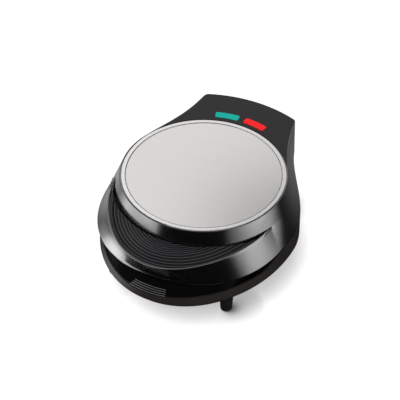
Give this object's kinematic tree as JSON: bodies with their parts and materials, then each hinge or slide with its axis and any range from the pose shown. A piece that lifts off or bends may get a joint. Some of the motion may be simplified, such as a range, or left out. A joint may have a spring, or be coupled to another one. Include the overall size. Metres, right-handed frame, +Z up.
{
  "type": "omelette maker",
  "caption": "Electric omelette maker with a hinged lid: two half-moon cooking pockets, brushed steel disc on top, ribbed front lip, indicator lenses and stub feet.",
  "frame": {"origin": "on the table under the middle of the closed appliance's box", "axes": "+Z up, front finger recess towards -Y, hinge towards +Y, +X to the right seen from the front"},
  "size_m": [0.2006, 0.2532, 0.0914],
  "materials": {
    "black_gloss": "gloss",
    "base_shell": "satin brown-grey",
    "foot": "satin",
    "inlet": "matte",
    "plate": "non-stick coating",
    "element": "satin",
    "shield": "mill finish",
    "screw": "bright zinc",
    "ceramic": "matte",
    "lead": "silicone sleeve",
    "panel": "satin",
    "steel": "brushed",
    "bright_rim": "polished",
    "red_lens": "translucent gloss",
    "green_lens": "translucent gloss",
    "lamp": "clear"
  },
  "bodies": {
    "base": {"base_shell": "base_shell", "base_frame": "black_gloss", "front_left_foot": "foot", "front_right_foot": "foot", "rear_left_foot": "foot", "rear_right_foot": "foot", "cord_inlet": "inlet", "lower_cooking_plate": "plate", "lower_heating_element": "element", "lower_heat_shield": "shield", "lower_shield_screws": "screw", "thermostat": "element", "thermal_fuse": "ceramic", "terminal_block": "ceramic", "base_leads": "lead", "base_screws": "screw", "hinge_pins": "screw"},
    "lid": {"lid_shell": "black_gloss", "crescent_panel": "panel", "steel_disc": "steel", "disc_trim": "bright_rim", "red_lens": "red_lens", "green_lens": "green_lens", "neon_lamps": "lamp", "lamp_holder": "ceramic", "lid_frame": "black_gloss", "upper_cooking_plate": "plate", "upper_heating_element": "element", "upper_heat_shield": "shield", "upper_shield_screws": "screw", "lid_leads": "lead", "lid_screws": "screw"}
  },
  "joints": [
    {"name": "lid_hinge", "type": "hinge", "parent": "base", "child": "lid", "pos_m": [0, 0.1173, 0.04875], "axis": [-1, 0, 0], "range_deg": [0, 100]}
  ]
}
